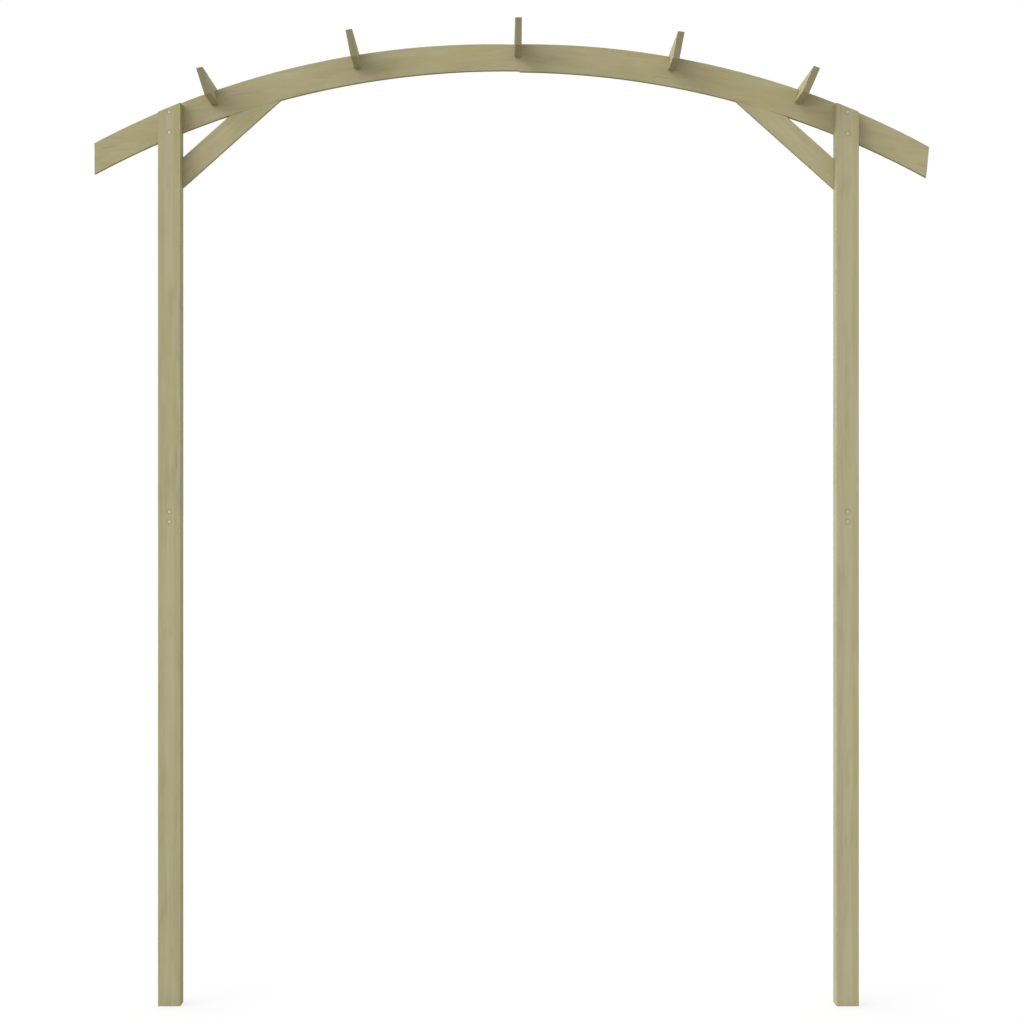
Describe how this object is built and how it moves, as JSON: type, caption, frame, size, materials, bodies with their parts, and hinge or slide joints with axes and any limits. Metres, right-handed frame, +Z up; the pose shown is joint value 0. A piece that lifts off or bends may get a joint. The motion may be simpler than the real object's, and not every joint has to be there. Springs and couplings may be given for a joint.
{
  "type": "garden pergola arch",
  "caption": "Wooden garden pergola: square posts carry a bowed beam with slanted braces under it and notched rafters across it.",
  "frame": {"origin": "on the ground, midway between the two posts, in the middle plane of the arch beam", "axes": "+X along the arch, to the right as seen from the front; +Y through the arch from the front, where the posts stand proud, to the back, where beam and posts are flush; +Z up"},
  "size_m": [1.785, 0.38, 2.0705],
  "materials": {
    "post_wood": "planed, pressure-treated pine with a faint green tint",
    "beam_wood": "planed, pressure-treated pine with a faint green tint",
    "rafter_wood": "planed, pressure-treated pine, sawn at the ends",
    "dowel_wood": "plain turned wood",
    "screw_steel": "pale passivated zinc",
    "plate_steel": "zinc plated"
  },
  "bodies": {
    "root": {"post_left_lower": "post_wood", "post_left_upper": "post_wood", "post_right_lower": "post_wood", "post_right_upper": "post_wood", "splice_dowel_left": "dowel_wood", "splice_dowel_right": "dowel_wood", "arch_left": "beam_wood", "arch_right": "beam_wood", "brace_left": "beam_wood", "brace_right": "beam_wood", "rafter_left_outer": "rafter_wood", "rafter_left_inner": "rafter_wood", "rafter_middle": "rafter_wood", "rafter_right_inner": "rafter_wood", "rafter_right_outer": "rafter_wood", "crown_plate": "plate_steel", "splice_screws": "screw_steel", "post_top_screws": "screw_steel", "brace_screws": "screw_steel", "rafter_screws": "screw_steel", "crown_plate_screws": "screw_steel"}
  },
  "joints": []
}
